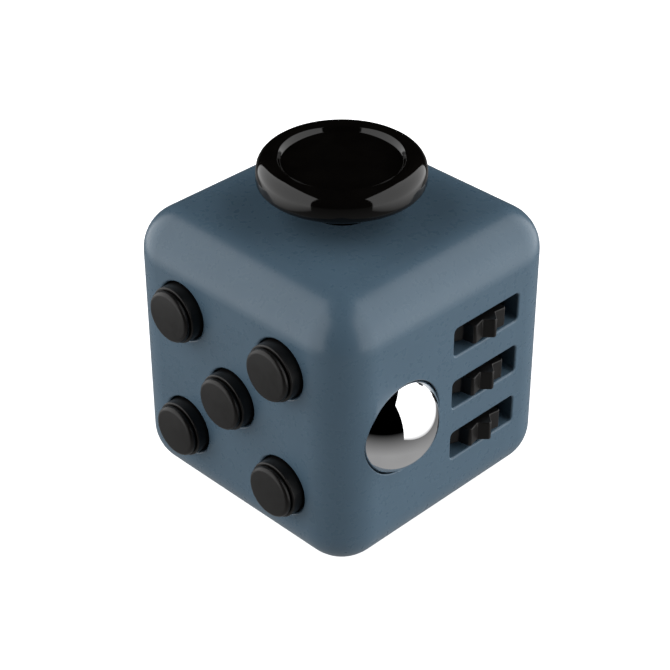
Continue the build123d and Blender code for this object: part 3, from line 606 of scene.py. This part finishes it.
def place_spring(name, node, body, axis, low, high, fixed, turns, wire_r):
    """Winds a spring between two places along X or Y, on the line of its CAD sleeve."""
    letter = "XY".index(axis)
    box_low, box_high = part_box(node)
    outer_r = (box_high.z - box_low.z) / 2
    bm = coil_spring(outer_r, wire_r, high - low, turns)
    start = (box_low + box_high) / 2
    start[letter] = low
    bmesh.ops.transform(bm, matrix=Matrix.Translation(start) @ TURN_TO[axis], verts=bm.verts)
    spring = make_piece(bm, name, body, "spring_steel", node)
    anchor = list(start)
    anchor[letter] = fixed
    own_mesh(spring)


SMALL_WIRE_R = 0.1 * MM
BALL_WIRE_R = 0.2 * MM
SMALL_TURNS, BALL_TURNS = 7, 4
SPRING_SPAN = 3.2 * MM
for node, body, joint, axis in (
        ("glide_springs_x", "glide_tray", "glide_x", "X"), ("glide_springs_y", "case", "glide_y", "Y")):
    letter = "XY".index(axis)
    low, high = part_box(node)[0][letter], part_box(node)[1][letter]
    place_spring(node + "_far", node, body, axis, high - SPRING_SPAN, high, high,
                 SMALL_TURNS, SMALL_WIRE_R)
    place_spring(node + "_near", node, body, axis, low, low + SPRING_SPAN, low,
                 SMALL_TURNS, SMALL_WIRE_R)
spring_low, spring_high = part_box("ball_spring")
place_spring("ball_coil", "ball_spring", "case", "X",
             spring_low.x, spring_high.x, spring_low.x, BALL_TURNS, BALL_WIRE_R)

# %% [markdown]
# Under each button sits a dome. Three are sprung steel discs that snap through with a click, and
# two are silicone cones that give without a sound. Both are turned thin shells. Their outlines
# give each height as a share of the dome's rise, which is read from the CAD node.

# %% Domes
DOME_R = 2.6
CLICK_FOOT = 0.45
SILICONE_SKIN = 0.3
dome_outlines = {
    "click": [(0, 1, 0), (1.3, 0.76, 0.5), (DOME_R, 0, 0.02),
              (DOME_R - CLICK_FOOT, 0, 0.02), (1.2, 0.52, 0.4), (0, 0.8, 0)],
    "silent": [(0, 1, 0), (1.4, 1, 0.15), (DOME_R, 0, 0.05),
               (DOME_R - SILICONE_SKIN, 0, 0.02), (1.1, 0.7, 0.1), (0, 0.7, 0)],
}
for place in PLACES:
    kind = "silent" if place.startswith("bottom") else "click"
    node = kind + "_dome_" + place
    spot, size = middle_of(node), size_of(node)
    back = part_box(node)[1].y
    outline = [(radius, height * size.y / MM, rounding) for radius, height, rounding in dome_outlines[kind]]
    dome = bmesh.new()
    turn_on_lathe(dome, outline, steps=FINE_STEPS)
    over = Matrix.Translation((spot.x, back, spot.z)) @ Matrix.Rotation(math.radians(90), 4, "X")
    to_metres(dome, over)
    slot = "silicone" if kind == "silent" else "spring_steel"
    piece = make_piece(dome, place + "_" + kind + "_dome", "case", slot, node)
    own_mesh(piece)

# %% [markdown]
# The cube stands on a plain floor that glows almost white, so hardly any shadow shows on it. It
# is there only for the cube to stand on: it lets the lights through from below, it doesn't show
# in reflections, and it doesn't light the cube.

# %% Floor
FLOOR_HALF = 3.0
FLOOR_DROP = 0.02 * MM
FLOOR_GREY = (0.8, 0.8, 0.8, 1)
FLOOR_GLOW = 0.9
floor_mesh = bmesh.new()
bmesh.ops.create_grid(floor_mesh, x_segments=1, y_segments=1, size=FLOOR_HALF)
bmesh.ops.translate(floor_mesh, vec=(0, 0, -FLOOR_DROP), verts=floor_mesh.verts)
floor_data = bpy.data.meshes.new("floor")
floor_mesh.to_mesh(floor_data)
floor_mesh.free()
floor = bpy.data.objects.new("floor", floor_data)
bpy.context.scene.collection.objects.link(floor)
floor_white = start_finish("floor_white", Base_Color=FLOOR_GREY, Roughness=0.9)
shader_of(floor_white).inputs["Emission Color"].default_value = (1, 1, 1, 1)
shader_of(floor_white).inputs["Emission Strength"].default_value = FLOOR_GLOW
floor_data.materials.append(floor_white)
floor.visible_diffuse = False
floor.visible_glossy = False
floor.visible_transmission = False
floor.visible_shadow = False
floor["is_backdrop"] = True
print("floor,", 2 * FLOOR_HALF, "m across")

# %% [markdown]
# Two tall soft boxes stand left and right of the camera's line and face the cube. Nothing hangs
# above it, so what looks up stays dark and shiny black plastic stays black. The gap between the
# boxes is what draws the dark stripe down the middle of every glossy part. They stand well back,
# so that each face of the case is lit evenly. They reach below the level of the floor, and they
# fade towards their lower edges, so that these don't show as lines in the ball.

# %% Studio lights
CARD_DISTANCE = 1.2
CARD_WIDTH = 2.964
CARD_LOW, CARD_HIGH = -0.66, 2.304
CARD_RADIANCE = 2.0
CARD_FADE = 0.34
CARD_FOOT = 0.13
CUBE_MIDDLE = Vector((0, 0, (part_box("shell")[1].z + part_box("shell")[0].z) / 2))


def fade_towards_floor(light):
    """Dims a soft box towards its lower edge."""
    light.use_nodes = True
    tree = light.node_tree
    place = tree.nodes.new("ShaderNodeNewGeometry")
    split = tree.nodes.new("ShaderNodeSeparateXYZ")
    fade = tree.nodes.new("ShaderNodeMapRange")
    fade.inputs["From Min"].default_value = CARD_LOW
    fade.inputs["From Max"].default_value = CARD_LOW + CARD_FADE
    fade.inputs["To Min"].default_value = CARD_FOOT
    tree.links.new(place.outputs["Position"], split.inputs["Vector"])
    tree.links.new(split.outputs["Z"], fade.inputs["Value"])
    tree.links.new(fade.outputs["Result"], tree.nodes["Emission"].inputs["Strength"])


def soft_box(name, azimuth):
    """A tall soft box that stands at an azimuth from +X and faces the cube."""
    light = bpy.data.lights.new(name, "AREA")
    light.shape = "RECTANGLE"
    light.size = CARD_WIDTH
    light.size_y = CARD_HIGH - CARD_LOW
    light.energy = CARD_RADIANCE * math.pi * light.size * light.size_y
    fade_towards_floor(light)
    card = bpy.data.objects.new(name, light)
    bpy.context.scene.collection.objects.link(card)
    turn = math.radians(azimuth)
    outward = Vector((math.cos(turn), math.sin(turn), 0))
    card.location = CUBE_MIDDLE + outward * CARD_DISTANCE + Vector((0, 0, (CARD_HIGH + CARD_LOW) / 2))
    card.rotation_euler = outward.to_track_quat("Z", "Y").to_euler()
    card.visible_camera = False
    print(name, "power in watts:", round(light.energy, 2))


soft_box("soft_box_right", azimuth=45)
soft_box("soft_box_left", azimuth=-135)

# %% [markdown]
# A weak, soft fill light comes from low on the right. It lifts the ball's side of the case a
# little over the button side, so the two faces read apart. It is hidden from reflections, because
# one more highlight would break up the clean shapes in the ball and the disc.

# %% Fill light
FILL_STRENGTH = 0.94
FILL_AZIMUTH, FILL_HEIGHT = math.radians(40), math.radians(5)
FILL_SPREAD = math.radians(30)


def direction_of(azimuth, height):
    """The direction that has an azimuth from +X and a height over the floor."""
    return Vector((
        math.cos(azimuth) * math.cos(height),
        math.sin(azimuth) * math.cos(height),
        math.sin(height)))


fill_light = bpy.data.lights.new("fill", "SUN")
fill_light.energy = FILL_STRENGTH
fill_light.angle = FILL_SPREAD
fill = bpy.data.objects.new("fill", fill_light)
bpy.context.scene.collection.objects.link(fill)
fill.rotation_euler = direction_of(FILL_AZIMUTH, FILL_HEIGHT).to_track_quat("Z", "Y").to_euler()
fill.visible_glossy = False
print("fill light strength:", fill_light.energy)

# %% [markdown]
# The rest of the studio is dark, apart from the ground, which sends a little grey light up. The
# camera sees plain white past the edge of the floor.

# %% World
GROUND_GREY = 0.44
GROUND_START, GROUND_FULL = -0.05, -0.8
world = bpy.data.worlds.new("studio")
bpy.context.scene.world = world
world.use_nodes = True
tree = world.node_tree
tree.nodes.clear()
sky = tree.nodes.new("ShaderNodeTexCoord")
split = tree.nodes.new("ShaderNodeSeparateXYZ")
ground = tree.nodes.new("ShaderNodeMapRange")
ground.inputs["From Min"].default_value = GROUND_START
ground.inputs["From Max"].default_value = GROUND_FULL
ground.inputs["To Min"].default_value = 0.0
ground.inputs["To Max"].default_value = GROUND_GREY
room = tree.nodes.new("ShaderNodeBackground")
white = tree.nodes.new("ShaderNodeBackground")
white.inputs["Color"].default_value = (1, 1, 1, 1)
ray = tree.nodes.new("ShaderNodeLightPath")
choose = tree.nodes.new("ShaderNodeMixShader")
output = tree.nodes.new("ShaderNodeOutputWorld")
tree.links.new(sky.outputs["Generated"], split.inputs["Vector"])
tree.links.new(split.outputs["Z"], ground.inputs["Value"])
tree.links.new(ground.outputs["Result"], room.inputs["Strength"])
tree.links.new(ray.outputs["Is Camera Ray"], choose.inputs["Fac"])
tree.links.new(room.outputs["Background"], choose.inputs[1])
tree.links.new(white.outputs["Background"], choose.inputs[2])
tree.links.new(choose.outputs["Shader"], output.inputs["Surface"])
print("world made of", len(tree.nodes), "nodes")

# %% [markdown]
# The camera looks down on the corner between the button face and the ball face, from about 34
# degrees up, through a long lens, so that the upright edges stay nearly parallel.

# %% Camera
CAMERA_DISTANCE = 0.21308
CAMERA_AZIMUTH = math.radians(-45)
CAMERA_HEIGHT = math.radians(34.345)
FOCAL_LENGTH, SENSOR_WIDTH = 103.34, 36
SHIFT_X, SHIFT_Y = -0.01005, 0.0009
lens = bpy.data.cameras.new("camera")
lens.lens = FOCAL_LENGTH
lens.sensor_width = SENSOR_WIDTH
lens.shift_x = SHIFT_X
lens.shift_y = SHIFT_Y
camera = bpy.data.objects.new("camera", lens)
bpy.context.scene.collection.objects.link(camera)
towards_camera = direction_of(CAMERA_AZIMUTH, CAMERA_HEIGHT)
camera.location = CUBE_MIDDLE + towards_camera * CAMERA_DISTANCE
camera.rotation_euler = towards_camera.to_track_quat("Z", "Y").to_euler()
bpy.context.scene.camera = camera
bpy.context.scene.view_settings.view_transform = "Standard"
bpy.context.scene.view_settings.look = "None"
print("camera distance, m:", CAMERA_DISTANCE)

# %% [markdown]
# Last, the box round the finished object is printed, in metres.

# %% Sizes
low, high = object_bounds()
print("visual box, metres:", [round(value, 4) for value in (*low, *high)])
